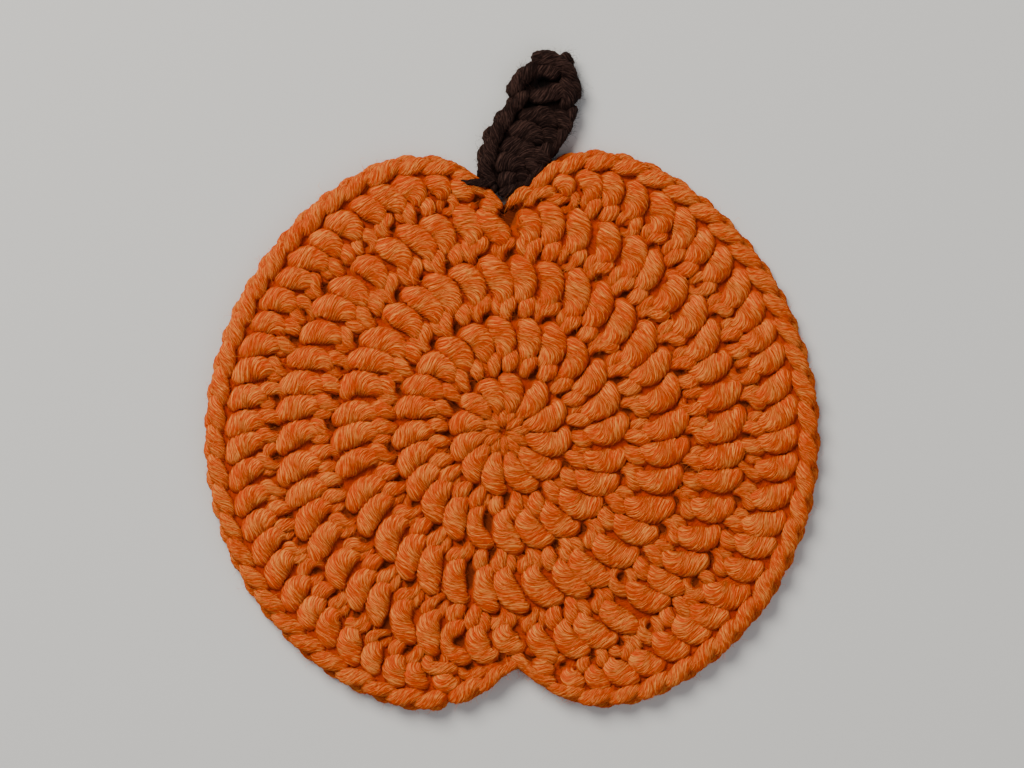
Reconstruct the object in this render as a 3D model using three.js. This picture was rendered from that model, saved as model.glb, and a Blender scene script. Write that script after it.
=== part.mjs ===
// A pumpkin-shaped coaster crocheted flat in five joined rounds of orange yarn,
// with a short stem of brown yarn in its top notch. It lies on its underside.
// Millimetres: +X to the right, +Y from the coaster towards the stem's tip, +Z up.
import * as THREE from "three";

// The edge of the coaster, as a radius by bearing from the ring in its middle.
// Bearings are radians, clockwise from +Y.
const EDGE = { mean: 62.7, shiftRight: 1.7, oval: -0.6, threeSided: 0.5 };
const NOTCHES = [
  { bearing: 0, depth: 16.1, width: 0.19, power: 1.35 },
  { bearing: 3.09, depth: 12.9, width: 0.21, power: 1.57 },
];

// The rounds of double crochet: stitches in each, and its outer radius.
// The last round has no radius, because it ends at the edge loops.
const ROUNDS = [
  { stitches: 12, outer: 12.7 },
  { stitches: 24, outer: 24.2 },
  { stitches: 36, outer: 36.6 },
  { stitches: 48, outer: 48.2 },
  { stitches: 64, outer: null },
];
const ROUND_SHIFT = { amount: 1.5, bearing: 2.0 };
const LEAN = 0.45;
const EYE_RADIUS = 1.8;
const SAMPLES_PER_STITCH = 4;

// Heights of the top of the cloth above the table.
const HEIGHT = { eye: 3.6, hole: 3.1, groove: 4.1, crest: 5.2, edgeGroove: 3.9, edgeCrest: 5.0 };

// The row of edge loops: how wide it is, and the steps from its top to the table.
const EDGE_ROPE = 3.4;
const SCALLOP = 0.35;
const RIM = [
  { inset: 1.7, height: HEIGHT.edgeCrest },
  { inset: 0.4, height: 4.1 },
  { inset: 0.0, height: 2.6 },
  { inset: 0.5, height: 1.0 },
  { inset: 1.4, height: 0.0 },
];

// Where each strip of a round is sampled, from its base (0) to its top (1), and how high it stands.
const STRIPS = [
  { along: 0.0, rise: 0.0 },
  { along: 0.24, rise: 0.8 },
  { along: 0.52, rise: 1.0 },
  { along: 0.82, rise: 0.85 },
];

// The stem's middle line, from its root in the notch to its tip, with half its width there.
const STEM_LINE = [
  { x: -0.9, y: 48.1, half: 3.0 },
  { x: -0.4, y: 52.3, half: 5.8 },
  { x: 1.4, y: 56.4, half: 7.4 },
  { x: 3.8, y: 60.1, half: 7.6 },
  { x: 6.3, y: 64.6, half: 8.0 },
  { x: 8.4, y: 69.6, half: 7.7 },
  { x: 8.8, y: 74.0, half: 6.6 },
  { x: 8.6, y: 76.9, half: 4.9 },
  { x: 8.2, y: 78.5, half: 2.4 },
];
const STEM_STEPS = 42;
const STEM_POSTS = 7;
const STEM_TWIST_HEIGHT = 0.45;
const STEM_GAP = 0.3;

// The stem's section: across from its left edge (-1) to its right edge (1), and the height there.
// Its left side is a raised row of loops and its middle is hollow.
const STEM_SECTION = [
  { across: -0.78, height: 0.0, wave: 0 },
  { across: -1.0, height: 1.7, wave: 0 },
  { across: -0.93, height: 3.9, wave: 0.5 },
  { across: -0.66, height: 5.6, wave: 1 },
  { across: -0.38, height: 4.5, wave: 1 },
  { across: -0.08, height: 3.3, wave: 0 },
  { across: 0.22, height: 3.9, wave: -0.5 },
  { across: 0.55, height: 4.8, wave: -1 },
  { across: 0.85, height: 3.9, wave: -1 },
  { across: 1.0, height: 1.9, wave: 0 },
  { across: 0.8, height: 0.0, wave: 0 },
];

const TURN = 2 * Math.PI;

function edgeRadius(bearing) {
  const { mean, shiftRight, oval, threeSided } = EDGE;
  let radius = mean + shiftRight * Math.sin(bearing);
  radius += oval * Math.cos(2 * bearing) + threeSided * Math.cos(3 * bearing);
  for (const notch of NOTCHES) {
    const away = Math.abs(Math.atan2(Math.sin(bearing - notch.bearing), Math.cos(bearing - notch.bearing)));
    radius -= notch.depth * Math.exp(-((away / notch.width) ** notch.power));
  }
  return radius;
}

// The outer radius of a round. It never comes nearer to the edge than the row of edge loops.
function roundRadius(number, bearing) {
  if (number < 0) return EYE_RADIUS;
  const inside = edgeRadius(bearing) - EDGE_ROPE;
  const { outer } = ROUNDS[number];
  if (outer === null) return inside;
  const before = number > 0 ? ROUNDS[number - 1].outer : EYE_RADIUS;
  const shifted = outer + ROUND_SHIFT.amount * Math.cos(bearing - ROUND_SHIFT.bearing);
  return Math.min(shifted, before + (inside - before) * 0.94);
}

function pointAt(bearing, radius, height) {
  return new THREE.Vector3(radius * Math.sin(bearing), radius * Math.cos(bearing), height);
}

// One ring of points round the middle; place(share) gives the bearing, radius and height there.
function ringOf(count, place) {
  return Array.from({ length: count }, (_, i) => pointAt(...place(i / count)));
}

// The rings across one round: its posts are ridges that lean back as they rise,
// and its base has a hole between each two posts.
function roundRings(number) {
  const { stitches } = ROUNDS[number];
  return STRIPS.map(({ along, rise }) =>
    ringOf(stitches * SAMPLES_PER_STITCH, (share) => {
      const ridge = Math.sin(Math.PI * share * stitches) ** 2;
      const bearing = TURN * share - (LEAN * along * TURN) / stitches;
      const inner = roundRadius(number - 1, bearing);
      const outer = roundRadius(number, bearing);
      const low = HEIGHT.hole + (HEIGHT.groove - HEIGHT.hole) * Math.max(rise, ridge);
      const height = low + (HEIGHT.crest - low) * ridge * rise;
      return [bearing, inner + (outer - inner) * along, height];
    }),
  );
}

// The rings from the groove inside the edge loops, over them and down to the table.
function rimRings() {
  const { stitches } = ROUNDS[ROUNDS.length - 1];
  const count = stitches * SAMPLES_PER_STITCH;
  const groove = ringOf(count, (share) => {
    const bearing = TURN * share;
    return [bearing, roundRadius(ROUNDS.length - 1, bearing), HEIGHT.edgeGroove];
  });
  const steps = RIM.map(({ inset, height }) =>
    ringOf(count, (share) => {
      const bearing = TURN * share;
      const scallop = height > 0 ? SCALLOP * Math.sin(Math.PI * share * stitches) ** 2 : 0;
      return [bearing, edgeRadius(bearing) - inset + scallop - SCALLOP, height];
    }),
  );
  return [groove, ...steps];
}

// Closes the surface between rings of any number of points; the first and last may be one point.
function skin(rings) {
  const positions = rings.flat().flatMap((p) => [p.x, p.y, p.z]);
  const indices = [];
  let start = 0;
  for (let k = 0; k + 1 < rings.length; k++) {
    const inner = rings[k].length;
    const outer = rings[k + 1].length;
    const next = start + inner;
    let a = 0;
    let b = 0;
    while (a < inner || b < outer) {
      const innerFirst = b >= outer || (a < inner && (a + 1) / inner <= (b + 1) / outer);
      const from = start + (a % inner);
      const across = next + (b % outer);
      if (innerFirst) {
        if (inner > 1) indices.push(from, start + ((a + 1) % inner), across);
        a++;
      } else {
        if (outer > 1) indices.push(from, next + ((b + 1) % outer), across);
        b++;
      }
    }
    start = next;
  }
  const geometry = new THREE.BufferGeometry();
  geometry.setAttribute("position", new THREE.Float32BufferAttribute(positions, 3));
  geometry.setIndex(indices);
  geometry.computeVertexNormals();
  return geometry;
}

function bodyGeometry() {
  const top = [pointAt(0, 0, HEIGHT.eye)];
  const bottom = [pointAt(0, 0, 0)];
  const rounds = ROUNDS.flatMap((_, number) => roundRings(number));
  return skin([top, ...rounds, ...rimRings(), bottom]);
}

// A point of the stem, kept just outside the edge of the notch that the stem sits in.
function clearOfEdge(x, y, height) {
  const bearing = Math.atan2(x, y);
  const radius = Math.max(Math.hypot(x, y), edgeRadius(bearing) + STEM_GAP);
  return pointAt(bearing, radius, height);
}

// The stem is a run of sections along its middle line, each across it.
function stemGeometry() {
  const line = new THREE.SplineCurve(STEM_LINE.map(({ x, y }) => new THREE.Vector2(x, y)));
  const widths = new THREE.SplineCurve(STEM_LINE.map(({ half }, i) => new THREE.Vector2(i, half)));
  const sections = [];
  for (let step = 0; step <= STEM_STEPS; step++) {
    const along = step / STEM_STEPS;
    const middle = line.getPoint(along);
    const ahead = line.getTangent(along);
    const half = widths.getPoint(along).y;
    const wave = STEM_TWIST_HEIGHT * Math.sin(TURN * STEM_POSTS * along);
    const taper = 0.8 + 0.2 * Math.sin(Math.PI * along);
    sections.push(
      STEM_SECTION.map(({ across, height, wave: share }) => {
        const x = middle.x + across * half * ahead.y;
        const y = middle.y - across * half * ahead.x;
        return clearOfEdge(x, y, height * taper + wave * share);
      }),
    );
  }
  const root = middleOf(sections[0]);
  const tip = middleOf(sections[STEM_STEPS]);
  return skin([[root], ...sections, [tip]]);
}

function middleOf(points) {
  const sum = points.reduce((total, p) => total.add(p), new THREE.Vector3());
  return sum.divideScalar(points.length);
}

const orangeYarn = new THREE.MeshStandardMaterial({ color: 0xd2691e, roughness: 0.9, metalness: 0 });
const brownYarn = new THREE.MeshStandardMaterial({ color: 0x3a241c, roughness: 0.9, metalness: 0 });

const body = new THREE.Mesh(bodyGeometry(), orangeYarn);
body.name = "pumpkin_body";

const stem = new THREE.Mesh(stemGeometry(), brownYarn);
stem.name = "stem";

// The origin is on the table under the middle of the whole outline.
const coaster = new THREE.Group();
coaster.add(body, stem);
const outline = new THREE.Box3().setFromObject(coaster);
const middle = outline.getCenter(new THREE.Vector3());
const placed = new THREE.Group();
coaster.position.set(-middle.x, -middle.y, -outline.min.z);
placed.add(coaster);

export default placed;
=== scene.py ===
"""Dresses the pumpkin coaster: every stitch of its five rounds in plied orange yarn, and its brown stem."""
import math
from collections import namedtuple

import bpy
import numpy as np
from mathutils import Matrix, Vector
from mathutils.geometry import delaunay_2d_cdt


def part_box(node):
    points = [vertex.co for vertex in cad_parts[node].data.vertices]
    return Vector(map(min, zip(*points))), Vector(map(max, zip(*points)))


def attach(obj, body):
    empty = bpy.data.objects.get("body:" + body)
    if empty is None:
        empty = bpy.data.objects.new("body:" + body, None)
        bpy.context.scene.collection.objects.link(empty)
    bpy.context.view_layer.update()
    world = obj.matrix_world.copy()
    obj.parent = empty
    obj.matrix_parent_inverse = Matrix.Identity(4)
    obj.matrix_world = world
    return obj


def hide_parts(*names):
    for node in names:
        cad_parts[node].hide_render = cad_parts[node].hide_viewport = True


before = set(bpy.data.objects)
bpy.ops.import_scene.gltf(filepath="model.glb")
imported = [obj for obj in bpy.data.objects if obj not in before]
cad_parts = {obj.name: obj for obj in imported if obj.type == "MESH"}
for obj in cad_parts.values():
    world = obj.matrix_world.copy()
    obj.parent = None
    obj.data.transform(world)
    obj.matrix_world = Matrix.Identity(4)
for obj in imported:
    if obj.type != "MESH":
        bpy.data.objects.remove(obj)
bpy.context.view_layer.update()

chance = np.random.default_rng(7)
MM = 0.001
TURN = 2 * math.pi

# The picture: 1024 by 768 pixels, taken from straight above.
PICTURE_WIDE = 1024
PIXELS_PER_MM = 4.85
CAMERA_HEIGHT = 620.0
CAMERA_ASIDE = (0.0, -1.1)
SENSOR = 36.0

# The edge of the coaster, in mm by bearing from the ring in its middle, clockwise from +Y.
EDGE = {"mean": 62.7, "shift_right": 1.7, "oval": -0.6, "three_sided": 0.5}
Notch = namedtuple("Notch", "bearing depth width power")
NOTCHES = (Notch(0.0, 16.1, 0.19, 1.35), Notch(3.09, 12.9, 0.21, 1.57))

# The rounds: stitches in each, and the radius of its row of top loops, which the edge gives in the last.
Round = namedtuple("Round", "stitches outer")
ROUNDS = (Round(12, 12.7), Round(24, 24.2), Round(36, 36.6), Round(48, 48.2), Round(64, None))
LAST_ROUND = len(ROUNDS) - 1
ROUND_PIECES = (1, 1, 1, 2, 2)
ROUND_SHIFT = (1.5, 2.0)
EYE_RADIUS = 1.2
LEAST_HEIGHT = 1.2
LEAST_RADIUS = 0.3
SEAM_START = 189
EDGE_BEARINGS = 4097

# The last round's row of top loops: how wide it is in mm, how wide in the notches, and over what bearing.
LOOPS_WIDE = 5.0
NOTCH_LOOPS = 2.4
NOTCH_LOOPS_WIDTH = 0.13
# The other rounds' rows: their width, and how far their front legs stand out, as shares of the last's.
TUCKED_WIDTH = 0.70
TUCKED_OUT = 0.1

# The stitches: the heights in mm up to which they are half stitches and slip stitches, the share of a
# stitch by which a post leans, and how far apart two posts stand in one loop, as a share of the loop.
HALF_STITCH = 6.0
SLIP_STITCH = 2.5
LEAN = 0.35
FIRST_ROUND_LEAN = 0.2
POSTS_APART = 0.40
# Where stitches lie closer together than this, in mm, their yarn is drawn thinner, down to a share.
FULL_PITCH = 4.2
LEAST_SQUEEZE = 0.45
# How unevenly the hand works: the spread of each stitch's place, height and thickness.
HAND = (0.06, 0.03, 0.06)
STEM_HAND = (0.10, 0.05, 0.12)

# The yarn: its radius in mm, the plies twisted in it, how far it spreads and flattens as it lies, and half
# the thickness of the cloth.
YARN = 1.5
STEM_YARN = 1.4
PLIES = 9
PLY_RIDGE = 0.055
TWIST_PER_MM = 0.66
WIDEN = 1.2
FLAT = 0.85
HALF_THICK = 2.7

# How finely the yarn is made: mm from ring to ring, how much closer in the bends, and how much of that
# counts where a strand is covered. Curves are worked out in parts of the way between two way points.
STEP = 0.80
BENDS = 1.2
HIDDEN_STEP = 0.45
OPEN_TO_THE_EYE = 0.5
CURVE_PART = 0.1
LEAST_CHORD = 0.05

# How the yarn settles, in steps of a millimetre along the strands: how hard strands that touch push each
# other, and how hard each is drawn even, straight and back home, more so in front.
LINE_STEP = 1.0
NEXT_DOOR = 4
SETTLE_TURNS = 120
FIND_PAIRS_EVERY = 12
PAIRS_SPARE = 0.6
CLEAR_HOLES_EVERY = 3
SHRINK = 0.99
CONTACT = 0.88
SHARED_PUSH = 0.6
EVEN_PULL = 0.25
SPRING = 0.35
HOME_PULL = 0.06
FRONT_PULL = 0.16
FRONT_FROM = 1.0
SQUASH = np.array([1.0, 1.0, 1.0 / FLAT])
# How the strands swell until they meet, as shares of their radius, and how far inside the edge they end.
LEAST_SWELL = 0.9
MOST_SWELL = 1.3
MEET = 1.15
SWELL_SPARE = 1.5
SWELL_SMOOTHINGS = 3
FAR_OFF = 9.0
EDGE_INSET = 1.0
LEAST_ROOM = 0.3
THINNEST_AT_EDGE = 0.8
THINNEST_AT_HOLE = 0.5
HOLE_LEFT_FREE = 0.8
BEND_ROOM = 0.9
LEAST_BEND = 0.3

# The hook's holes: how far they reach in mm, their radii, where they lie beside the top loops, and how
# much painted shade, as extra depth over how wide a rim, the yarn in and beside them gets.
HOLE_REACH = 3.0
HOLE_EFFORT = 0.3
HOLE_SIZES = (0.3, 0.9)
HOLE_ASIDE = 0.12
HOLE_LIFT = 0.35
HOLE_SOFT = 1.1
HOLE_SHADE = 1.6
FULL_SHADE_SIZE = 0.8
MOST_SHADE = 1.6
CREST_DEPTH = 0.9
# How the yarn is cleared out of them last: how often, by how much, for what share of its radius.
LAST_TURNS = 5
LAST_EFFORT = 0.7
LAST_RADII = 0.7
LAST_SMOOTH = 0.25

# The chain space over the stem's foot, the slits beside the turning chains and those in the stem, in mm
# from the middle ring.
Slit = namedtuple("Slit", "x y size")
SLITS = (
    Slit(0.8, 44.6, 2.0), Slit(-3.4, -17.4, 0.9), Slit(-3.2, -19.2, 1.0), Slit(-7.0, -27.0, 0.7),
    Slit(-7.0, -29.0, 0.9), Slit(-6.9, -31.0, 0.8), Slit(-9.5, -43.1, 0.9), Slit(-23.9, -39.4, 0.9),
)
STEM_SLITS = (Slit(7.8, 71.3, 1.1), Slit(5.4, 66.8, 0.7))

# The stem: its middle line and half width, from its foot to its tip, in mm from the middle ring.
Section = namedtuple("Section", "x y half")
STEM_LINE = (
    Section(-0.9, 48.1, 3.0), Section(-0.4, 52.3, 5.8), Section(1.4, 56.4, 7.4),
    Section(3.8, 60.1, 7.6), Section(6.3, 64.6, 8.0), Section(8.4, 69.6, 7.7),
    Section(8.8, 74.0, 6.6), Section(8.6, 76.9, 4.9), Section(8.2, 78.5, 2.4),
)
# Its stitches: how many, where on its length the first and last stand, and how its ends narrow them.
STEM_STITCHES = 7
STEM_ROW = (0.80, 0.06)
STEM_LEAST_HALF = 4.5
STEM_FULL_HALF = 6.0
STEM_LEAST_THICK = 0.6
STEM_FOOT_INSET = 1.3
STEM_SWAY = 3
STEM_PLACES = 200
# Its first chain: its length in stitches, the share of it that goes up the right edge, where on the stem
# it turns over the tip, and by what angle at which shares of its length.
CHAIN_STITCHES = 8.2
CHAIN_UP = 0.78
CHAIN_TURNS_AT = 0.72
CHAIN_TURNED = ((0, CHAIN_UP, 1.0, 1.2), (0.0, 0.0, 2.2, 3.4))
CHAIN_INSET = 1.9
CHAIN_LIFT = 2.3
CHAIN_SWAY = 0.4
CHAIN_HAND = 6
# The loose end that lies over the notch's left side, from the stem outwards, and its radii.
STEM_TAIL = ((-1.6, 51.2, 0.9), (-3.6, 50.9, 1.7), (-5.4, 50.9, 2.0), (-7.2, 51.1, 1.9), (-8.6, 51.4, 1.5))
TAIL_RADII = (1.1, 0.5)

# The closed surface over the strands: its cells in mm, and by how many cells each side of a gap closes.
CELL = 0.6
CLOSE_CELLS = 3
MARGIN = 4
NO_YARN = -9.0
CELLS_AROUND = [(i, j) for i in (-1, 0, 1) for j in (-1, 0, 1)]

# The yarn packed between the strands, seen in the holes: its grid, and how deep it lies, in mm.
PACKED_BEARINGS = 380
PACKED_RINGS = 60
PACKED_INSIDE = 2.0
PACKED_COILS = 12
PACKED_COIL_WIDE = 1.2
PACKED_DEEPER = 1.8
PACKED_HEIGHTS = (0.15, 0.9)
PACKED_LEAST = 0.05
STEM_PACKED_BEARINGS = 60
STEM_PACKED_RINGS = 8
STEM_PACKED_LONG = 0.93
STEM_PACKED_INSIDE = 1.8
STEM_PACKED_COILS = 3
# A pit that closes each hole, its floor carrying painted shade: its rings and where its floor ends, in radii
# of the hole.
PIT_RINGS = (0.3, 0.8, 1.2, 1.7)
PIT_FLOOR = 0.8
PIT_SIDES = 10
PIT_CLEAR = 0.3

# The loose fibres: how many to a mm of yarn, and their sizes in mm.
FIBRES_PER_MM = 6
STEM_FIBRES_PER_MM = 18
FIBRE_LONG = (1.1, 3.2)
FIBRE_STANDS = (0.05, 0.40)
FIBRE_WIDE = 0.052
FIBRE_STEPS = 4
FIBRE_ROOT = 0.96
FIBRE_BURIED = 0.8
FIBRE_LAY = (-0.75, 0.55)
FIBRE_CURL = 0.5
CURL_BEND = 2.5
FIBRE_DIP = 0.075
FIBRE_LOWEST = 0.05
FIBRE_TAPER = 0.6


def away_from(notch, bearing):
    """How far bearings lie from a notch's own, in radians."""
    return np.abs(np.arctan2(np.sin(bearing - notch.bearing), np.cos(bearing - notch.bearing)))


def edge_radius(bearing):
    """The radius of the coaster's edge, for an array of bearings."""
    radius = EDGE["mean"] + EDGE["shift_right"] * np.sin(bearing)
    radius = radius + EDGE["oval"] * np.cos(2 * bearing) + EDGE["three_sided"] * np.cos(3 * bearing)
    for notch in NOTCHES:
        radius = radius - notch.depth * np.exp(-((away_from(notch, bearing) / notch.width) ** notch.power))
    return radius


def middle_ring():
    """Where the middle ring lies in the frame, half way up the cloth, from the CAD body's own box, in mm."""
    bearings = np.linspace(0, TURN, EDGE_BEARINGS)
    left = (edge_radius(bearings) * np.sin(bearings)).min()
    low = (edge_radius(bearings) * np.cos(bearings)).min()
    corner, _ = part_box("pumpkin_body")
    return np.array([corner.x / MM - left, corner.y / MM - low, HALF_THICK])


MIDDLE = middle_ring()


def top_loops_width(number, bearing):
    """How far a round's edge lies outside its top loops; the last round's lie closer in the notches."""
    if number < LAST_ROUND:
        return np.full(np.shape(bearing), LOOPS_WIDE * TUCKED_WIDTH)
    width = np.full(np.shape(bearing), LOOPS_WIDE)
    for notch in NOTCHES:
        near = np.exp(-((away_from(notch, bearing) / NOTCH_LOOPS_WIDTH) ** 2))
        width = width - (LOOPS_WIDE - NOTCH_LOOPS) * near
    return width


def round_radius(number, bearing):
    """The radius of a round's top loops; number -1 is the ring in the middle."""
    bearing = np.asarray(bearing, float)
    if number < 0:
        return np.full(bearing.shape, EYE_RADIUS)
    inside = edge_radius(bearing) - top_loops_width(LAST_ROUND, bearing)
    if number == LAST_ROUND:
        return inside
    amount, towards = ROUND_SHIFT
    shifted = ROUNDS[number].outer + amount * np.cos(bearing - towards)
    return np.minimum(shifted, inside - LEAST_HEIGHT * (LAST_ROUND - number))


def seam_bearings():
    """The bearing of each round's first post; every round's posts lean by the same share of a stitch."""
    seams = [math.radians(SEAM_START)]
    for below, this in zip(ROUNDS, ROUNDS[1:]):
        seams.append(seams[-1] + 0.5 * TURN / below.stitches + (0.5 - LEAN) * TURN / this.stitches)
    return seams


SEAMS = seam_bearings()

# One stitch is a run of way points. across: in stitch widths from the middle of its post, towards
# the next stitch; up: in stitch heights from the top loops below; lift: mm added to that;
# out: mm in front of the middle of the cloth; thick: share of the yarn's radius.
Way = namedtuple("Way", "across up lift out thick")

DOUBLE_CROCHET = (
    # from the loop before, behind the cloth, and once round the neck of the second loop
    Way(-0.85, 1.0, 1.4, -1.3, 0.8),
    Way(-0.5, 0.88, 0.0, -1.7, 0.8),
    Way(-0.05, 0.68, 0.0, -1.7, 0.8),
    Way(0.22, 0.56, 0.0, -1.1, 0.75),
    Way(0.3, 0.48, 0.0, -0.4, 0.8),
    Way(0.26, 0.39, 0.0, 0.0, 0.8),
    Way(0.1, 0.36, 0.0, 0.0, 0.75),
    Way(-0.1, 0.38, 0.0, -0.2, 0.7),
    Way(-0.24, 0.38, 0.0, -0.8, 0.7),
    Way(-0.15, 0.28, 0.0, -1.6, 0.8),
    # down behind, and under the top loops of the round below to the front
    Way(0.06, 0.15, 0.0, -1.8, 0.8),
    Way(0.14, 0.0, 1.0, -1.4, 0.75),
    Way(0.2, 0.0, 0.2, -0.3, 0.65),
    Way(0.26, 0.0, 0.9, 0.4, 0.65),
    # the first loop: up in front, behind the neck, round it on the right and down in front
    Way(0.28, 0.16, 0.0, 0.6, 0.75),
    Way(0.24, 0.28, 0.0, 0.2, 0.75),
    Way(0.12, 0.38, 0.0, -0.5, 0.7),
    Way(-0.06, 0.43, 0.0, -0.9, 0.7),
    Way(-0.24, 0.43, 0.0, -0.5, 0.75),
    Way(-0.35, 0.37, 0.0, 0.3, 0.8),
    Way(-0.38, 0.28, 0.0, 1.2, 1.05),
    Way(-0.34, 0.19, 0.0, 1.75, 1.3),
    Way(-0.26, 0.1, 0.0, 1.9, 1.36),
    Way(-0.15, 0.02, 0.0, 1.7, 1.2),
    Way(-0.05, -0.02, -0.3, 1.0, 0.9),
    Way(0.02, -0.02, -0.4, 0.0, 0.7),
    Way(0.0, 0.0, 1.2, -1.4, 0.75),
    # up behind, and through the first loop: the second loop
    Way(-0.06, 0.2, 0.0, -1.75, 0.8),
    Way(-0.04, 0.3, 0.0, -1.2, 0.75),
    Way(0.0, 0.4, 0.0, -0.2, 0.75),
    Way(0.06, 0.56, 0.0, -0.3, 0.8),
    Way(0.12, 0.76, 0.0, -0.6, 0.8),
    Way(0.18, 0.93, 0.0, -0.5, 0.8),
    Way(0.19, 1.02, 0.0, 0.4, 0.85),
    Way(0.15, 1.0, 0.0, 1.3, 1.05),
    Way(0.08, 0.92, 0.0, 1.75, 1.4),
    Way(0.0, 0.8, 0.0, 1.9, 1.62),
    Way(-0.09, 0.67, 0.0, 1.92, 1.7),
    Way(-0.16, 0.54, 0.0, 1.92, 1.66),
    Way(-0.2, 0.41, 0.0, 1.85, 1.5),
    Way(-0.19, 0.29, 0.0, 1.6, 1.22),
    Way(-0.14, 0.2, 0.0, 1.0, 0.95),
    Way(-0.1, 0.19, 0.0, 0.0, 0.75),
    Way(-0.04, 0.26, 0.0, -0.8, 0.75),
    Way(0.02, 0.42, 0.0, -1.4, 0.8),
    # up behind, and through the second loop and the loop before: the top loop
    Way(0.08, 0.64, 0.0, -1.8, 0.8),
    Way(0.1, 0.86, 0.0, -1.7, 0.8),
    Way(0.06, 1.0, 0.4, -0.9, 0.75),
    Way(-0.02, 1.0, 1.8, -0.1, 0.85),
    Way(0.02, 1.0, 2.5, 0.9, 0.9),
    Way(0.24, 1.0, 2.7, 1.4, 0.95),
    Way(0.56, 1.0, 2.4, 1.5, 0.95),
    Way(0.88, 1.0, 1.9, 1.3, 0.9),
    Way(1.18, 1.0, 1.5, 0.5, 0.85),
    Way(1.2, 1.0, 2.5, -0.5, 0.8),
    Way(0.96, 1.0, 3.6, -0.95, 0.95),
    Way(0.64, 1.0, 3.9, -0.95, 1.05),
    Way(0.34, 1.0, 2.9, -1.2, 0.9),
)
# Rows of the way points: all, those after the wrap round the neck, the top loop, a chain's, and the
# front leg of the top loop.
WHOLE_STITCH = slice(0, None)
WITHOUT_WRAP = slice(10, None)
TOP_LOOP = slice(-13, None)
CHAIN = slice(-11, None)
FRONT_LEG = slice(-8, -4)


def rows_for(height):
    """The way points that a stitch of this height has: the shortest are top loops and no more."""
    if height > HALF_STITCH:
        return WHOLE_STITCH
    return WITHOUT_WRAP if height > SLIP_STITCH else TOP_LOOP


def post_foot(number, i):
    """The bearing of a post's foot, in a top loop of the round below, which two posts may share."""
    stitches, below = ROUNDS[number].stitches, ROUNDS[number - 1].stitches
    pitch = TURN / below
    loop = i * below // stitches
    first = -(-loop * stitches // below)
    shared = sum(1 for j in range(stitches) if j * below // stitches == loop)
    split = ((i - first) - (shared - 1) / 2) * POSTS_APART * pitch
    return SEAMS[number - 1] - (loop - 0.5) * pitch - split


def crochet_round(number):
    """The way points of a whole round as arrays: points in mm from the middle ring, and yarn radii."""
    stitches = ROUNDS[number].stitches
    pitch = TURN / stitches
    across, up, lift, out, thick = np.array(DOUBLE_CROCHET).T
    if number < LAST_ROUND:
        out[FRONT_LEG] *= TUCKED_OUT
    points, radii = [], []
    for i in range(stitches):
        top = SEAMS[number] - i * pitch
        base = post_foot(number, i) if number else top + FIRST_ROUND_LEAN * pitch
        rows = rows_for(float(round_radius(number, top) - round_radius(number - 1, base)))
        share = np.clip(up[rows], 0, 1)
        aside, taller, fatter = chance.normal(0, HAND, 3)
        bearing = base + (top - base + aside * pitch) * share - across[rows] * pitch
        inner = round_radius(number - 1, bearing)
        outer = round_radius(number, bearing)
        rise = lift[rows] * top_loops_width(number, bearing) / LOOPS_WIDE
        bulge = taller * np.sin(math.pi * share)
        radius = np.maximum(inner + (outer - inner) * (up[rows] + bulge) + rise, LEAST_RADIUS)
        points.append(np.c_[radius * np.sin(bearing), radius * np.cos(bearing), out[rows]])
        squeeze = np.clip(radius * pitch / FULL_PITCH, LEAST_SQUEEZE, 1.0)
        radii.append(YARN * thick[rows] * squeeze * (1 + fatter))
    return np.concatenate(points), np.concatenate(radii)


def stem_place(share):
    """The stem's middle, its way to the left and its half width, for shares from its foot to its tip."""
    line = np.array(STEM_LINE)
    along = np.concatenate([[0], np.cumsum(np.linalg.norm(np.diff(line[:, :2], axis=0), axis=1))])
    at = np.clip(share, 0, 1) * along[-1]
    middle = np.stack([np.interp(at, along, line[:, c]) for c in range(2)], axis=-1)
    ahead = np.stack([np.interp(at, along, np.gradient(line[:, c], along)) for c in range(2)], axis=-1)
    ahead = ahead / np.linalg.norm(ahead, axis=-1)[..., None]
    left = np.stack([-ahead[..., 1], ahead[..., 0]], axis=-1)
    half = np.interp(at, along, line[:, 2])
    return middle, left, half


def crochet_stem():
    """The stem's row of stitches, from its tip down, with their top loops along its left edge."""
    points, radii = [], []
    across, up, lift, out, thick = np.array(DOUBLE_CROCHET).T
    first, last = STEM_ROW
    pitch = (first - last) / (STEM_STITCHES - 1)
    for i in range(STEM_STITCHES):
        aside, taller, fatter = chance.normal(0, STEM_HAND, 3)
        rows = WHOLE_STITCH if i else WITHOUT_WRAP
        lean = (LEAN - STEM_SWAY * aside) * (1 - np.clip(up[rows], 0, 1))
        middle, left, half = stem_place(first - (i + across[rows] + aside - lean) * pitch)
        edge = np.maximum(half, STEM_LEAST_HALF)
        height = 2 * edge - STEM_FOOT_INSET - LOOPS_WIDE
        reach = -edge + STEM_FOOT_INSET + height * (up[rows] + taller) + lift[rows]
        points.append(np.c_[middle + left * reach[:, None], out[rows]])
        slimmer = np.clip(half / STEM_FULL_HALF, STEM_LEAST_THICK, 1.0)
        radii.append(STEM_YARN * thick[rows] * slimmer * (1 + fatter))
    return np.concatenate(points), np.concatenate(radii)


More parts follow.
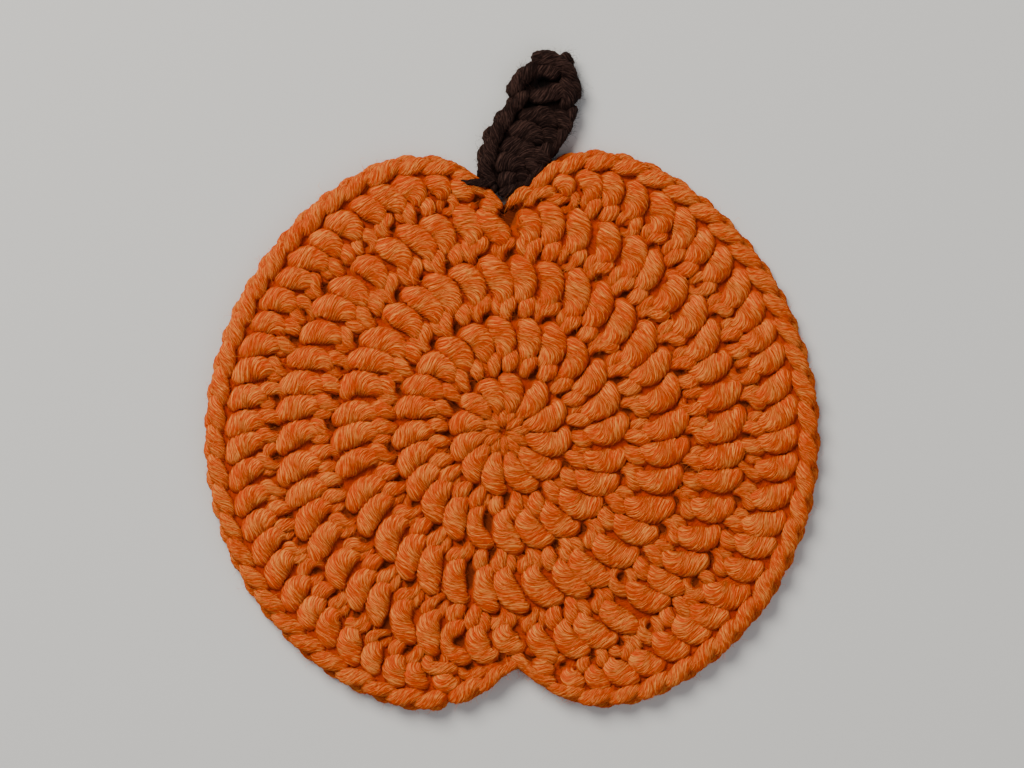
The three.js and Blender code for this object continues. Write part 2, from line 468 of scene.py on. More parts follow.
def crochet_stem_chain():
    """The stem's first chain: up its right edge and over its tip."""
    across, _, lift, out, thick = np.array(DOUBLE_CROCHET[CHAIN]).T
    points, radii = [], []
    for i in range(STEM_STITCHES + 2):
        _, taller, fatter = chance.normal(0, STEM_HAND, 3)
        share = (i + across) / CHAIN_STITCHES
        turned = np.interp(share, *CHAIN_TURNED)
        middle, left, half = stem_place(np.minimum(share / CHAIN_UP, 1) * CHAIN_TURNS_AT)
        ahead = np.stack([left[:, 1], -left[:, 0]], axis=-1)
        inset = np.maximum(half - CHAIN_INSET, 1.0) + (lift - CHAIN_LIFT) * CHAIN_SWAY + taller * CHAIN_HAND
        place = middle - left * (np.cos(turned) * inset)[:, None] + ahead * (np.sin(turned) * inset)[:, None]
        points.append(np.c_[place, out])
        radii.append(STEM_YARN * thick * (1 + fatter))
    return np.concatenate(points), np.concatenate(radii)


def hook_holes():
    """Where the hook went in: the middle and radius of each top loop's hole, and the slits, in mm."""
    holes = []
    for number in range(LAST_ROUND):
        stitches = ROUNDS[number].stitches
        for j in range(stitches):
            bearing = SEAMS[number] - (j - 0.5 - HOLE_ASIDE) * TURN / stitches
            radius = float(round_radius(number, bearing)) + HOLE_LIFT
            size = chance.uniform(*HOLE_SIZES)
            holes.append((radius * math.sin(bearing), radius * math.cos(bearing), size))
    return np.array(holes + [tuple(slit) for slit in SLITS + STEM_SLITS])


def directions(points):
    """The unit vectors along a line of points."""
    ahead = np.gradient(points, axis=0)
    return ahead / np.linalg.norm(ahead, axis=1)[:, None]


def curve_through(points, radii, step, bends=0.0, weight=None):
    """A smooth line through way points: rows of x, y, z, radius and length, closer in the bends."""
    chord = np.linalg.norm(np.diff(points, axis=0), axis=1)
    knots = np.concatenate([[0], np.cumsum(np.maximum(chord, LEAST_CHORD) ** 0.5)])
    data = np.c_[points, radii]
    before = np.clip(np.arange(len(knots)) - 1, 0, None)
    after = np.clip(np.arange(len(knots)) + 1, None, len(knots) - 1)
    slope = (data[after] - data[before]) / (knots[after] - knots[before])[:, None]
    gap = np.diff(knots)[:, None]
    dense = []
    for t in np.arange(0, 1, CURVE_PART):
        dense.append(
            (2 * t**3 - 3 * t**2 + 1) * data[:-1]
            + (t**3 - 2 * t**2 + t) * gap * slope[:-1]
            + (3 * t**2 - 2 * t**3) * data[1:]
            + (t**3 - t**2) * gap * slope[1:]
        )
    dense = np.concatenate([np.stack(dense, axis=1).reshape(-1, 4), data[-1:]])
    parts = np.linalg.norm(np.diff(dense[:, :3], axis=0), axis=1)
    along = np.concatenate([[0], np.cumsum(parts)])
    turning = np.linalg.norm(np.diff(directions(dense[:, :3]), axis=0), axis=1)
    effort = parts + bends * turning
    if weight is not None:
        effort = effort * weight(dense[:-1, :3], dense[:-1, 3])
    effort = np.concatenate([[0], np.cumsum(effort)])
    at = np.interp(np.linspace(0, effort[-1], int(effort[-1] / step) + 1), effort, along)
    return np.stack([np.interp(at, along, dense[:, c]) for c in range(4)] + [at], axis=1)


def near_pairs(points, reach):
    """The pairs of points closer than reach in every direction, found by sorting them into cells."""
    cell = np.floor(points / reach).astype(np.int64)
    cell -= cell.min(axis=0) - 1
    sizes = cell.max(axis=0) + 2
    key = (cell[:, 0] * sizes[1] + cell[:, 1]) * sizes[2] + cell[:, 2]
    order = np.argsort(key, kind="stable")
    ranked = key[order]
    firsts, seconds = [], []
    for dx, dy in CELLS_AROUND:
        for dz in (-1, 0, 1):
            other = key + (dx * sizes[1] + dy) * sizes[2] + dz
            start = np.searchsorted(ranked, other, "left")
            count = np.searchsorted(ranked, other, "right") - start
            first = np.repeat(np.arange(len(points)), count)
            inside = np.arange(len(first)) - np.repeat(np.cumsum(count) - count, count)
            second = order[np.repeat(start, count) + inside]
            keep = second > first
            firsts.append(first[keep])
            seconds.append(second[keep])
    return np.concatenate(firsts), np.concatenate(seconds)


def touching_pairs(points, radii, strand, spare):
    """Pairs that touch or nearly do, apart from those that follow each other on one strand."""
    points = points * SQUASH
    first, second = near_pairs(points, 2 * radii.max() + spare)
    apart = (strand[first] != strand[second]) | (second - first > NEXT_DOOR)
    first, second = first[apart], second[apart]
    far = ((points[first] - points[second]) ** 2).sum(axis=1)
    near = far < (radii[first] + radii[second] + spare) ** 2
    return first[near], second[near]


def push_apart(points, radii, first, second):
    """Moves strands that overlap out of each other."""
    gap = (points[first] - points[second]) * SQUASH
    far = np.maximum(np.linalg.norm(gap, axis=1), 1e-6)
    over = (radii[first] + radii[second]) * CONTACT - far
    hit = over > 0
    push = gap[hit] * (0.5 * over[hit] / far[hit])[:, None]
    one, two = first[hit], second[hit]
    count = len(points)
    hits = np.bincount(one, minlength=count) + np.bincount(two, minlength=count)
    moves = [np.bincount(one, push[:, c], count) - np.bincount(two, push[:, c], count) for c in range(3)]
    return points + np.stack(moves, axis=1) / np.maximum(hits * SHARED_PUSH, 1.0)[:, None]


def near_hole(places, x, y, reach=HOLE_REACH):
    """Which places lie in a square round the middle of a hole."""
    return np.nonzero((np.abs(places[:, 0] - x) < reach) & (np.abs(places[:, 1] - y) < reach))[0]


def clear_holes(points, radii, holes, effort):
    """Pushes the yarn out of the holes, by a share of what would clear them."""
    for x, y, size in holes:
        near = near_hole(points, x, y)
        aside = points[near, :2] - (x, y)
        far = np.maximum(np.linalg.norm(aside, axis=1), 1e-3)
        short = np.maximum(size + radii[near] - far, 0)
        points[near, :2] += aside * (effort * short / far)[:, None]
    return points


def even_out(points, rest, same):
    """Draws the segments of each strand towards their length at rest."""
    step = np.diff(points, axis=0)
    long = np.maximum(np.linalg.norm(step, axis=1)[:, None], 1e-6)
    pull = EVEN_PULL * step * (1 - rest / long) * same
    points[:-1] += pull
    points[1:] -= pull
    return points


def straighten(points, inner):
    """Lets each strand spring back from its bends without drawing itself in."""
    bend = np.zeros_like(points)
    bend[1:-1] = (0.5 * (points[:-2] + points[2:]) - points[1:-1]) * inner
    points[1:-1] += SPRING * (bend[1:-1] - 0.5 * (bend[:-2] + bend[2:])) * inner
    return points


def keep_in_cloth(points, radii, ridge=0.0):
    """Holds the strands, with the ridges of their plies, between the cloth's front and back."""
    ceiling = HALF_THICK - radii * FLAT * (1 + ridge)
    points[:, 2] = np.clip(points[:, 2], -ceiling, ceiling)
    return points


def room_to_edge(points, in_stem):
    """For each point, the way to the nearest edge and how far it is, in mm, of the body or of the stem."""
    x, y = points[:, 0], points[:, 1]
    radius = np.maximum(np.hypot(x, y), 0.01)
    outwards = np.stack([x / radius, y / radius, np.zeros(len(x))], axis=-1)
    spare = edge_radius(np.arctan2(x, y)) - radius
    middle, _, half = stem_place(np.linspace(0, 1, STEM_PLACES))
    nearest = np.argmin(((points[in_stem, None, :2] - middle) ** 2).sum(axis=2), axis=1)
    aside = points[in_stem, :2] - middle[nearest]
    far = np.maximum(np.hypot(*aside.T), 0.01)
    outwards[in_stem, :2] = aside / far[:, None]
    spare[in_stem] = np.maximum(half[nearest], EDGE_INSET + LEAST_ROOM) - far
    return outwards, spare


def settle(points, radii, strand, in_stem, holes):
    """Lets the strands push each other apart, straighten and flatten until they lie as soft yarn does."""
    home = points.copy()
    same = (strand[1:] == strand[:-1])[:, None]
    inner = same[1:] & same[:-1]
    rest = np.linalg.norm(np.diff(points, axis=0), axis=1)[:, None] * SHRINK
    hold = np.where(home[:, 2:] > FRONT_FROM, FRONT_PULL, HOME_PULL)
    for turn in range(SETTLE_TURNS):
        if turn % FIND_PAIRS_EVERY == 0:
            first, second = touching_pairs(points, radii, strand, PAIRS_SPARE)
        points = push_apart(points, radii, first, second)
        if turn % CLEAR_HOLES_EVERY == 0:
            points = clear_holes(points, radii, holes, HOLE_EFFORT)
        points = even_out(points, rest, same)
        points = straighten(points, inner)
        points += hold * (home - points)
        points = keep_in_cloth(points, radii)
    for _ in range(LAST_TURNS):
        points = clear_holes(points, radii * LAST_RADII, holes, LAST_EFFORT)
        points[1:-1] += LAST_SMOOTH * (points[:-2] - 2 * points[1:-1] + points[2:]) * inner
    outwards, spare = room_to_edge(points, in_stem)
    return points - outwards * np.maximum(EDGE_INSET - spare, 0)[:, None]


def swell(points, radii, strand, in_stem, is_tail, holes):
    """Each point's radius, thinner or thicker so that the yarn just meets its nearest neighbour."""
    first, second = touching_pairs(points, radii, strand, SWELL_SPARE)
    far = np.linalg.norm((points[first] - points[second]) * SQUASH, axis=1)
    share = radii[first] / (radii[first] + radii[second])
    room = np.full(len(points), FAR_OFF)
    np.minimum.at(room, first, far * share)
    np.minimum.at(room, second, far * (1 - share))
    wanted = np.clip(room * MEET, LEAST_SWELL * radii, MOST_SWELL * radii)
    _, spare = room_to_edge(points, in_stem)
    spare[is_tail] = FAR_OFF
    wanted = np.minimum(wanted, np.maximum(spare / WIDEN, THINNEST_AT_EDGE))
    for x, y, size in holes:
        near = near_hole(points, x, y, reach=HOLE_REACH + 1)
        clear = (np.linalg.norm(points[near, :2] - (x, y), axis=1) - HOLE_LEFT_FREE * size) / WIDEN
        wanted[near] = np.minimum(wanted[near], np.maximum(clear, THINNEST_AT_HOLE))
    bend = np.zeros(len(points))
    bend[1:-1] = np.linalg.norm(points[2:] - 2 * points[1:-1] + points[:-2], axis=1) / LINE_STEP**2
    wanted = np.minimum(wanted, BEND_ROOM / np.maximum(bend, LEAST_BEND))
    for _ in range(SWELL_SMOOTHINGS):
        wanted[1:-1] = (wanted[:-2] + 2 * wanted[1:-1] + wanted[2:]) / 4
    return wanted


def lie_down(curves, holes):
    """Settles the strands given as way points and radii, all but the last, which is the loose end."""
    lines = [curve_through(points, radii, LINE_STEP) for points, radii in curves]
    strand = np.concatenate([np.full(len(line), n) for n, line in enumerate(lines)])
    points, radii = np.concatenate(lines)[:, :3], np.concatenate(lines)[:, 3]
    is_tail = strand == strand[-1]
    in_stem = (strand > LAST_ROUND) & ~is_tail
    tail = points[is_tail].copy()
    points = settle(points, radii, strand, in_stem, holes)
    points[is_tail] = tail
    radii = swell(points, radii, strand, in_stem, is_tail, holes)
    points = keep_in_cloth(points, radii, PLY_RIDGE)
    return [(points[strand == n], radii[strand == n]) for n in range(len(lines))]


Surface = namedtuple("Surface", "low height side")


def yarn_surface(points, radii, side):
    """The height of the strands' front (side 1) or back (side -1) on a grid of cells, its gaps closed."""
    low = points[:, :2].min(axis=0) - MARGIN
    size = np.ceil((points[:, :2].max(axis=0) + MARGIN - low) / CELL).astype(int)
    surface = np.full(size, NO_YARN)
    base = np.floor((points[:, :2] - low) / CELL).astype(int)
    reach = int(np.ceil(radii.max() * WIDEN / CELL))
    for i in range(-reach, reach + 1):
        for j in range(-reach, reach + 1):
            cell = base + (i, j)
            away = np.linalg.norm((cell + 0.5) * CELL + low - points[:, :2], axis=1) / WIDEN
            over = np.sqrt(np.maximum(radii**2 - away**2, 0)) * FLAT
            hit = over > 0
            height = side * points[hit, 2] + over[hit]
            np.maximum.at(surface, (cell[hit, 0], cell[hit, 1]), height)
    for widen in (1, -1):
        for _ in range(CLOSE_CELLS):
            around = [np.roll(surface * widen, step, axis=(0, 1)) for step in CELLS_AROUND]
            surface = np.max(around, axis=0) * widen
    surface = np.mean([np.roll(surface, step, axis=(0, 1)) for step in CELLS_AROUND], axis=0)
    return Surface(low, surface, side)


def height_at(surface, x, y):
    """The height of a surface at places between its cells."""
    at = np.stack([(x - surface.low[0]) / CELL - 0.5, (y - surface.low[1]) / CELL - 0.5])
    most = np.array(surface.height.shape).reshape(2, *[1] * np.ndim(x)) - 2
    cell = np.clip(np.floor(at).astype(int), 0, most)
    part = at - cell
    height = 0
    for i in (0, 1):
        for j in (0, 1):
            weight = np.abs(1 - i - part[0]) * np.abs(1 - j - part[1])
            height = height + weight * surface.height[cell[0] + i, cell[1] + j]
    return height


class SettledYarn:
    """The settled strands' closed front and back, and the holes: how deep in the cloth a vertex lies."""

    def __init__(self, strands, holes):
        points = np.concatenate([points for points, _ in strands])
        radii = np.concatenate([radii for _, radii in strands])
        self.surfaces = [yarn_surface(points, radii, side) for side in (1, -1)]
        self.holes = holes

    def buried(self, vertices):
        """How far below the closed front or back the vertices lie, whichever is nearer, in mm."""
        x, y, z = (vertices - MIDDLE).T
        return np.min([height_at(surface, x, y) - surface.side * z for surface in self.surfaces], axis=0)

    def painted_hole_shade(self, vertices):
        """How much painted shade, as extra depth in mm, a vertex gets because it is in a hole or beside one.
        """
        places = vertices - MIDDLE
        deeper = np.zeros(len(places))
        for x, y, size in self.holes:
            near = near_hole(places, x, y)
            away = np.hypot(places[near, 0] - x, places[near, 1] - y)
            share = np.clip((size + HOLE_SOFT - away) / HOLE_SOFT, 0, 1)
            soft = share * share * (3 - 2 * share) * HOLE_SHADE * min(size / FULL_SHADE_SIZE, MOST_SHADE)
            deeper[near] = np.maximum(deeper[near], soft)
        return deeper

    def shade_depth(self, vertices):
        """The depth that the yarn's painted shade follows: more beside holes, but not on the strands'
        crests.
        """
        depth = self.buried(vertices)
        return depth + self.painted_hole_shade(vertices) * np.clip(depth / CREST_DEPTH, 0, 1)

    def shown(self, points, radii):
        """1 where a strand lies open to the eye, less where other strands cover it."""
        return np.where(self.buried(points) - radii * FLAT < OPEN_TO_THE_EYE, 1.0, HIDDEN_STEP)


# What a piece is joined from. strand: each vertex's cosine and sine round the yarn, and its way along it.
Part = namedtuple("Part", "vertices quads triangles strand")


def side_vectors(points):
    """For each point of a line, two unit vectors across it that turn as little as they can."""
    ahead = directions(points)
    first = np.cross(ahead[0], (0.0, 0.0, 1.0))
    if np.linalg.norm(first) < 1e-3:
        first = np.cross(ahead[0], (1.0, 0.0, 0.0))
    side = first / np.linalg.norm(first)
    sides = np.empty_like(points)
    for k, direction in enumerate(ahead):
        side = side - direction * (side @ direction)
        side = side / math.sqrt(side @ side)
        sides[k] = side
    return sides, np.cross(ahead, sides)


def plied_strand(line):
    """A closed tube round a line whose section has one ridge for each ply, with the plies twisted."""
    points, radii, along = line[:, :3], line[:, 3], line[:, 4]
    right, up = side_vectors(points)
    count = 2 * PLIES
    lay = TURN * np.arange(count) / count
    angle = lay[None, :] - TWIST_PER_MM * along[:, None]
    ridge = 1 + PLY_RIDGE * np.where(np.arange(count) % 2 == 0, 1.0, -1.0)[None, :]
    reach = radii[:, None] * ridge
    aside = right[:, None, :] * (reach * np.cos(angle))[:, :, None]
    aside = aside + up[:, None, :] * (reach * np.sin(angle))[:, :, None]
    ring = points[:, None, :] + aside * (WIDEN, WIDEN, FLAT)
    rings = len(points)
    vertices = np.concatenate([ring.reshape(-1, 3), points[:1], points[-1:]])
    index = np.arange(rings * count).reshape(rings, count)
    after = np.roll(index, -1, axis=1)
    quads = np.stack([index[:-1], after[:-1], after[1:], index[1:]], axis=-1).reshape(-1, 4)
    start, end = rings * count, rings * count + 1
    caps = np.concatenate([
        np.stack([np.full(count, start), after[0], index[0]], axis=-1),
        np.stack([np.full(count, end), index[-1], after[-1]], axis=-1),
    ])
    marks = np.stack(np.broadcast_arrays(np.cos(lay)[None], np.sin(lay)[None], along[:, None]), axis=-1)
    strand = np.concatenate([marks.reshape(-1, 3), [[0, 0, along[0]], [0, 0, along[-1]]]])
    return Part(vertices, quads, caps, strand)


def polar(places, middle):
    """The bearing and the radius of places round a middle."""
    return np.arctan2(*(places - middle).T), np.hypot(*(places - middle).T)


def packed_places(outline, middle, rings, holes):
    """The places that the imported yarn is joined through: the outline, rings inside it, and the pits'."""
    edge = len(outline)
    places = [outline]
    for share in np.linspace(1, 0, rings, endpoint=False)[1:]:
        every = max(1, int(1 / share))
        places.append(middle + (outline[::every] - middle) * share)
    places = np.concatenate(places)
    clear = np.ones(len(places), bool)
    for x, y, size in holes:
        away = np.hypot(places[edge:, 0] - x, places[edge:, 1] - y)
        clear[edge:] &= away > size * PIT_RINGS[-1] + PIT_CLEAR
    around = TURN * np.arange(PIT_SIDES) / PIT_SIDES
    pits = np.concatenate([
        np.c_[x + size * ring * np.sin(around), y + size * ring * np.cos(around)]
        for x, y, size in holes for ring in PIT_RINGS
    ])
    bearing, radius = polar(pits, middle)
    limit = np.interp(bearing, *polar(outline, middle), period=TURN)
    return np.concatenate([places[clear], pits[radius < limit - PIT_CLEAR]])


def packed_height(surface, x, y, holes):
    """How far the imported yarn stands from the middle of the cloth, with a pit at each hole."""
    height = np.clip(height_at(surface, x, y) - PACKED_DEEPER, *PACKED_HEIGHTS)
    for hole_x, hole_y, size in holes:
        away = np.hypot(x - hole_x, y - hole_y) / size
        near = away < PIT_RINGS[-1]
        height[near] *= np.clip((away[near] - PIT_FLOOR) / (PIT_RINGS[-1] - PIT_FLOOR), 0, 1)
    return np.maximum(height, PACKED_LEAST)


def packed_yarn(cloth, holes, outline, middle, rings, coils):
    """The yarn packed between strands: a thin closed cloth in an outline, with a pit at each hole."""
    places = [Vector(place) for place in packed_places(outline, middle, rings, holes)]
    loop = [(n, (n + 1) % len(outline)) for n in range(len(outline))]
    inside_only = 1
    made = delaunay_2d_cdt(places, loop, [], inside_only, 1e-5)
    x, y = np.array([tuple(place) for place in made[0]]).T
    triangles = np.array([tuple(face) for face in made[2]])
    ends = np.concatenate([triangles[:, [0, 1]], triangles[:, [1, 2]], triangles[:, [2, 0]]])
    rim = np.array(sorted({tuple(end) for end in ends} - {tuple(end) for end in ends[:, ::-1]}))
    front, back = (packed_height(surface, x, y, holes) for surface in cloth.surfaces)
    count = len(x)
    vertices = np.concatenate([np.c_[x, y, front], np.c_[x, y, -back]])
    faces = np.concatenate([triangles, triangles[:, ::-1] + count])
    quads = np.stack([rim[:, 1], rim[:, 0], rim[:, 0] + count, rim[:, 1] + count], axis=-1)
    bearing, radius = polar(vertices[:, :2], middle)
    angle = radius / PACKED_COIL_WIDE + coils * bearing
    return Part(vertices + MIDDLE, quads, faces, np.c_[np.cos(angle), np.sin(angle), radius])


def loose_fibres(cloth, lines, each_mm, seed):
    """Fine fibres that stand off the strands: narrow ribbons that leave the yarn and bend back to it."""
    dice = np.random.default_rng(seed)
    rows = 2 * (FIBRE_STEPS + 1)
    vertices, strand = [], []
    for line in lines:
        points, radii, along = line[:, :3], line[:, 3], line[:, 4]
        right, up = side_vectors(points)
        ahead = directions(points)
        count = int(each_mm * along[-1])
        k = dice.integers(2, len(points) - 2, count)
        angle = dice.uniform(0, TURN, count)
        out = right[k] * np.cos(angle)[:, None] + up[k] * np.sin(angle)[:, None]
        start = points[k] + out * (radii[k] * FIBRE_ROOT)[:, None] * (WIDEN, WIDEN, FLAT)
        around = np.cross(ahead[k], out)
        keep = cloth.buried(start) < FIBRE_BURIED
        k, out, start, around, angle = (kept[keep] for kept in (k, out, start, around, angle))
        count = len(k)
        lay = dice.normal(*FIBRE_LAY, count)[:, None]
        run = ahead[k] * np.cos(lay) + around * np.sin(lay)
        long = dice.uniform(*FIBRE_LONG, count)[:, None]
        stand = dice.uniform(*FIBRE_STANDS, count)[:, None]
        curl = np.cross(run, out) * dice.normal(0, FIBRE_CURL, count)[:, None] * long
        width = np.cross(run, out) * FIBRE_WIDE / 2
        ribbon = []
        for share in np.linspace(0, 1, FIBRE_STEPS + 1):
            rise = stand * math.sin(math.pi * share) - FIBRE_DIP * share * share * long
            centre = start + run * long * share + out * rise + curl * math.sin(CURL_BEND * share) * share
            centre[:, 2] = np.maximum(centre[:, 2], FIBRE_LOWEST)
            thin = width * (1 - FIBRE_TAPER * share)
            ribbon += [centre - thin, centre + thin]
        vertices.append(np.stack(ribbon, axis=1).reshape(-1, 3))
        marks = np.stack([np.cos(angle), np.sin(angle), along[k]], axis=-1)
        strand.append(np.repeat(marks, rows, axis=0))
    vertices, strand = np.concatenate(vertices), np.concatenate(strand)
    first = np.arange(0, len(vertices), rows)[:, None]
    step = 2 * np.arange(FIBRE_STEPS)[None, :]
    quads = np.stack([first + step, first + step + 1, first + step + 3, first + step + 2], axis=-1)
    return Part(vertices, quads.reshape(-1, 4), np.zeros((0, 3), int), strand)


def add_object(name, data):
    made = bpy.data.objects.new(name, data)
    bpy.context.scene.collection.objects.link(made)
    return made


def add_attribute(mesh, name, kind, key, values):
    attribute = mesh.attributes.new(name, kind, "POINT")
    attribute.data.foreach_set(key, values.astype(np.float32).ravel())


def mesh_piece(name, parts, material, cloth):
    """One joined mesh from parts in mm, with what its yarn's colour and painted shade follow as attributes.
    """
    starts = np.cumsum([0] + [len(part.vertices) for part in parts])
    vertices = np.concatenate([part.vertices for part in parts])
    quads = np.concatenate([part.quads + start for part, start in zip(parts, starts)])
    triangles = np.concatenate([part.triangles + start for part, start in zip(parts, starts)])
    mesh = bpy.data.meshes.new(name)
    mesh.vertices.add(len(vertices))
    mesh.vertices.foreach_set("co", (vertices * MM).astype(np.float32).ravel())
    corners = np.concatenate([quads.ravel(), triangles.ravel()]).astype(np.int32)
    mesh.loops.add(len(corners))
    mesh.loops.foreach_set("vertex_index", corners)
    firsts = np.concatenate([np.arange(len(quads)) * 4, len(quads) * 4 + np.arange(len(triangles)) * 3])
    mesh.polygons.add(len(firsts))
    mesh.polygons.foreach_set("loop_start", firsts.astype(np.int32))
    mesh.update(calc_edges=True)
    mesh.validate()
    add_attribute(mesh, "strand", "FLOAT_VECTOR", "vector", np.concatenate([part.strand for part in parts]))
    # The yarn's painted shade in creases and holes follows this depth.
    add_attribute(mesh, "buried", "FLOAT", "value", cloth.shade_depth(vertices))
    mesh.polygons.foreach_set("use_smooth", np.ones(len(firsts), bool))
    mesh.materials.append(material)
    return add_object(name, mesh)


# A yarn, with the slot of its pieces and the node that they replace.
Yarn = namedtuple("Yarn", "material slot node")


def yarn_piece(name, parts, yarn, cloth):
    """One piece of yarn, which lies where its solid does."""
    material, slot, node = yarn
    piece = mesh_piece(name, parts, material, cloth)
    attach(piece, "root")
    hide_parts(node)
    return piece


class Shade:
    """A socket of a material's nodes, or what they make of it; used in sums like a number."""

    def __init__(self, tree, socket=None):
        self.tree = tree
        self.socket = socket

    def node(self, kind, sockets, settings=None, output=0):
        """Adds a node: its settings first, then a value or a link for each socket, by name or number."""
        made = self.tree.nodes.new(kind)
        for key, value in (settings or {}).items():
            setattr(made, key, value)
        for key, value in sockets.items():
            if isinstance(value, Shade):
                self.tree.links.new(value.socket, made.inputs[key])
            else:
                made.inputs[key].default_value = value
        return Shade(self.tree, made.outputs[output])

    def math(self, operation, first, second=0.0):
        return self.node("ShaderNodeMath", {0: first, 1: second}, {"operation": operation})

    def __add__(self, other):
        return self.math("ADD", self, other)

    def __sub__(self, other):
        return self.math("SUBTRACT", self, other)

    def __mul__(self, other):
        return self.math("MULTIPLY", self, other)

    def between(self, low, high):
        """0 below low, 1 above high, and a smooth step between them."""
        sockets = {"Value": self, "From Min": low, "From Max": high}
        return self.node("ShaderNodeMapRange", sockets, {"interpolation_type": "SMOOTHSTEP"})

    def blend(self, first, second):
        """The first colour where this is 0, the second where it is 1."""
        sockets = {0: self, 6: first, 7: second}
        return self.node("ShaderNodeMix", sockets, {"data_type": "RGBA"}, output=2)


def colour(red, green, blue):
    return (red, green, blue, 1.0)


def plain_material(name, base, rough):
    material = bpy.data.materials.new(name)
    material.use_nodes = True
    shader = material.node_tree.nodes["Principled BSDF"]
    shader.inputs["Base Color"].default_value = base
    shader.inputs["Roughness"].default_value = rough
    return material


def yarn_material(name, shadow, deep, middle, light, pale):
    """Plied yarn: its plies and fibres follow the strand attribute, and its painted shade in creases and
    holes the buried one.
    """
    material = plain_material(name, middle, rough=0.9)
    tree = material.node_tree
    shader = tree.nodes["Principled BSDF"]
    nodes = Shade(tree)
    strand = nodes.node("ShaderNodeAttribute", {}, {"attribute_name": "strand"}, output="Vector")
    east, north, along = (nodes.node("ShaderNodeSeparateXYZ", {0: strand}, output=axis) for axis in "XYZ")
    angle = nodes.math("ARCTAN2", north, east)
    depth = nodes.node("ShaderNodeAttribute", {}, {"attribute_name": "buried"}, output="Fac")

    def streaks(around, length, detail, seed):
        """Noise drawn out along the yarn: how fine it is round the strand, and to a mm along it."""
        place = {"X": east * around, "Y": north * around, "Z": along * length + seed}
        vector = nodes.node("ShaderNodeCombineXYZ", place)
        sockets = {"Vector": vector, "Scale": 1.0, "Detail": detail, "Roughness": 0.6}
        return nodes.node("ShaderNodeTexNoise", sockets, output="Fac")

    wander = streaks(around=3.2, length=0.90, detail=1.0, seed=3.0).between(0.30, 0.70)
    fibre = streaks(around=8.0, length=0.60, detail=2.0, seed=40.0).between(0.28, 0.72)
    hair = streaks(around=22.0, length=0.60, detail=2.0, seed=20.0).between(0.25, 0.75)
    fleck = streaks(around=8.0, length=0.80, detail=1.0, seed=70.0)
    patch = streaks(around=0.5, length=0.035, detail=2.0, seed=90.0).between(0.3, 0.7)
    ridge_strength = streaks(around=2.6, length=1.6, detail=1.0, seed=130.0).between(0.36, 0.62)
    ply = nodes.math("ABSOLUTE", nodes.math("COSINE", angle * (PLIES / 2) + (wander - 0.5) * 2.0))
    ply = ply * (ridge_strength * 0.6 + 0.4)

    # Painted shade and light on the plies: the tint runs darker in ply grooves and lighter on crests; its
    # fibre and hair noise is the yarn's own uneven tone.
    tint = ply * 0.34 + fibre * 0.33 + hair * 0.33
    # Painted highlight: pale flecks, strongest on the ply crests, partly the yarn's own lighter fibres.
    highlight_flecks = fleck + hair * 0.24 + ply * 0.10 + patch * 0.08
    deepest_shade = colour(*(0.40 * part for part in shadow[:3]))
    base = tint.between(0.15, 0.70).blend(deep, middle)
    base = (tint * (patch * 0.4 + 0.6)).between(0.40, 0.80).blend(base, light)
    base = (highlight_flecks.between(0.64, 0.91) * 0.92).blend(base, pale)
    # Painted shade: creases take the deep colour as they lie more buried, and pits and holes the shadow
    # colours.
    base = (depth.between(0.5, 1.8) * 0.88).blend(base, deep)
    base = depth.between(2.0, 2.9).blend(base, shadow)
    base = depth.between(3.2, 5.0).blend(base, deepest_shade)
    tree.links.new(base.socket, shader.inputs["Base Color"])

    height = ply * 0.65 + fibre * 0.40 + hair * 0.40
    bump = nodes.node("ShaderNodeBump", {"Strength": 1.0, "Distance": 0.00028, "Height": height})
    tree.links.new(bump.socket, shader.inputs["Normal"])
    finish = {"Sheen Weight": 0.5, "Sheen Roughness": 0.45, "Sheen Tint": light, "Specular IOR Level": 0.12}
    for key, value in finish.items():
        shader.inputs[key].default_value = value
    return material


def make_camera():
    camera = add_object("camera", bpy.data.cameras.new("camera"))
    camera.location = Vector((*CAMERA_ASIDE, CAMERA_HEIGHT)) * MM
    camera.data.sensor_width = SENSOR
    camera.data.lens = SENSOR * CAMERA_HEIGHT / (PICTURE_WIDE / PIXELS_PER_MM)
    camera.data.clip_start = 0.01
    bpy.context.scene.camera = camera


def make_light(name, place, size, power, tint):
    light = bpy.data.lights.new(name, "AREA")
    light.shape = "DISK"
    light.size = size
    light.energy = power
    light.color = tint
    lamp = add_object(name, light)
    lamp.location = place
    lamp.rotation_euler = (-Vector(place)).to_track_quat("-Z", "Y").to_euler()


def make_stage():
    """A plain pale floor, a window's light from the upper left and a soft fill."""
    bpy.ops.mesh.primitive_plane_add(size=3.0, location=(0, 0, 0))
    floor = bpy.context.object
    floor.name = "floor"
    floor.data.materials.append(plain_material("pale_floor", colour(0.66, 0.65, 0.62), rough=0.8))
    make_light("window_light", place=(-0.50, 0.68, 0.90), size=0.70, power=19.5, tint=(1.0, 0.97, 0.92))
    make_light("fill_light", place=(0.7, -0.5, 1.1), size=1.2, power=4.0, tint=(0.93, 0.96, 1.0))
    world = bpy.data.worlds.new("studio")
    world.use_nodes = True
    sky = world.node_tree.nodes["Background"]
    sky.inputs["Color"].default_value = colour(0.9, 0.93, 1.0)
    sky.inputs["Strength"].default_value = 0.28
    bpy.context.scene.world = world


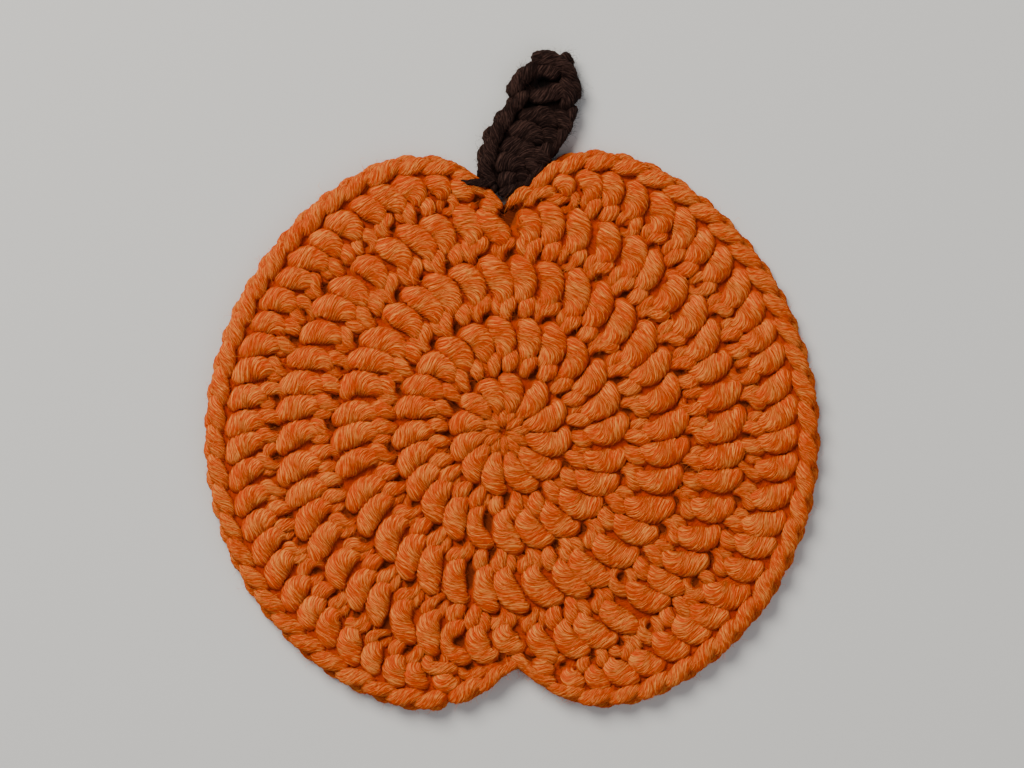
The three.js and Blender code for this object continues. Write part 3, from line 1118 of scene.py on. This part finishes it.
def dress_body(cloth, strands, orange):
    """The five rounds, the yarn packed between their strands, and their fibres."""
    lines = [curve_through(points + MIDDLE, radii, STEP, BENDS, cloth.shown) for points, radii in strands]
    for number, line in enumerate(lines):
        halves = np.array_split(np.arange(len(line)), ROUND_PIECES[number])
        for part, mine in enumerate(halves):
            label = f"round_{number + 1}" + (f"_part_{part + 1}" if len(halves) > 1 else "")
            own = [plied_strand(line[mine[0]:mine[-1] + 2])]
            yarn_piece(label, own, orange, cloth)
    bearing = TURN * np.arange(PACKED_BEARINGS) / PACKED_BEARINGS
    outline = np.c_[np.sin(bearing), np.cos(bearing)] * (edge_radius(bearing) - PACKED_INSIDE)[:, None]
    body_holes = cloth.holes[:-len(STEM_SLITS)]
    own = [packed_yarn(cloth, body_holes, outline, np.zeros(2), PACKED_RINGS, PACKED_COILS)]
    packed = yarn_piece("packed_yarn", own, orange, cloth)
    own = [loose_fibres(cloth, lines, FIBRES_PER_MM, seed=3)]
    yarn_piece("orange_fibres", own, orange, cloth)


def dress_stem(cloth, strands, brown):
    """The stem's row, its first chain and its loose end, the yarn packed between them, and their fibres."""
    bearing = TURN * np.arange(STEM_PACKED_BEARINGS) / STEM_PACKED_BEARINGS
    middle, left, half = stem_place(0.5 - 0.5 * np.cos(bearing) * STEM_PACKED_LONG)
    across = np.sign(np.sin(bearing)) * np.abs(np.sin(bearing)) ** 0.5
    outline = middle + left * (across * (half - STEM_PACKED_INSIDE))[:, None]
    stem_holes = cloth.holes[-len(STEM_SLITS):]
    centre = outline.mean(axis=0)
    own = [packed_yarn(cloth, stem_holes, outline, centre, STEM_PACKED_RINGS, STEM_PACKED_COILS)]
    yarn_piece("packed_stem", own, brown, cloth)
    lines = [curve_through(points + MIDDLE, radii, STEP, BENDS, cloth.shown) for points, radii in strands]
    yarn_piece("stem_yarn", [plied_strand(line) for line in lines], brown, cloth)
    own = [loose_fibres(cloth, lines, STEM_FIBRES_PER_MM, seed=4)]
    yarn_piece("brown_fibres", own, brown, cloth)


make_camera()
make_stage()

# Each yarn's colours: middle is its dye; deep and light are darker and lighter tones and also painted shade
# in grooves and creases and painted light on ply crests; pale is painted highlight flecks and lighter
# fibres; shadow is painted shadow in pits and holes.
orange_yarn = yarn_material(
    "orange_yarn",
    shadow=colour(0.26, 0.034, 0.006),
    deep=colour(0.54, 0.038, 0.001),
    middle=colour(0.83, 0.082, 0.003),
    light=colour(1.0, 0.152, 0.010),
    pale=colour(1.0, 0.34, 0.062),
)
brown_yarn = yarn_material(
    "brown_yarn",
    shadow=colour(0.003, 0.0015, 0.001),
    deep=colour(0.0066, 0.0021, 0.0013),
    middle=colour(0.0112, 0.0034, 0.0022),
    light=colour(0.027, 0.0093, 0.0065),
    pale=colour(0.080, 0.038, 0.028),
)
orange = Yarn(orange_yarn, "orange_yarn", "pumpkin_body")
brown = Yarn(brown_yarn, "brown_yarn", "stem")

rounds = [crochet_round(number) for number in range(len(ROUNDS))]
holes = hook_holes()
loose_end = np.array(STEM_TAIL), np.linspace(*TAIL_RADII, len(STEM_TAIL))
strands = lie_down([*rounds, crochet_stem(), crochet_stem_chain(), loose_end], holes)
cloth = SettledYarn(strands, holes)
dress_body(cloth, strands[:len(ROUNDS)], orange)
dress_stem(cloth, strands[len(ROUNDS):], brown)
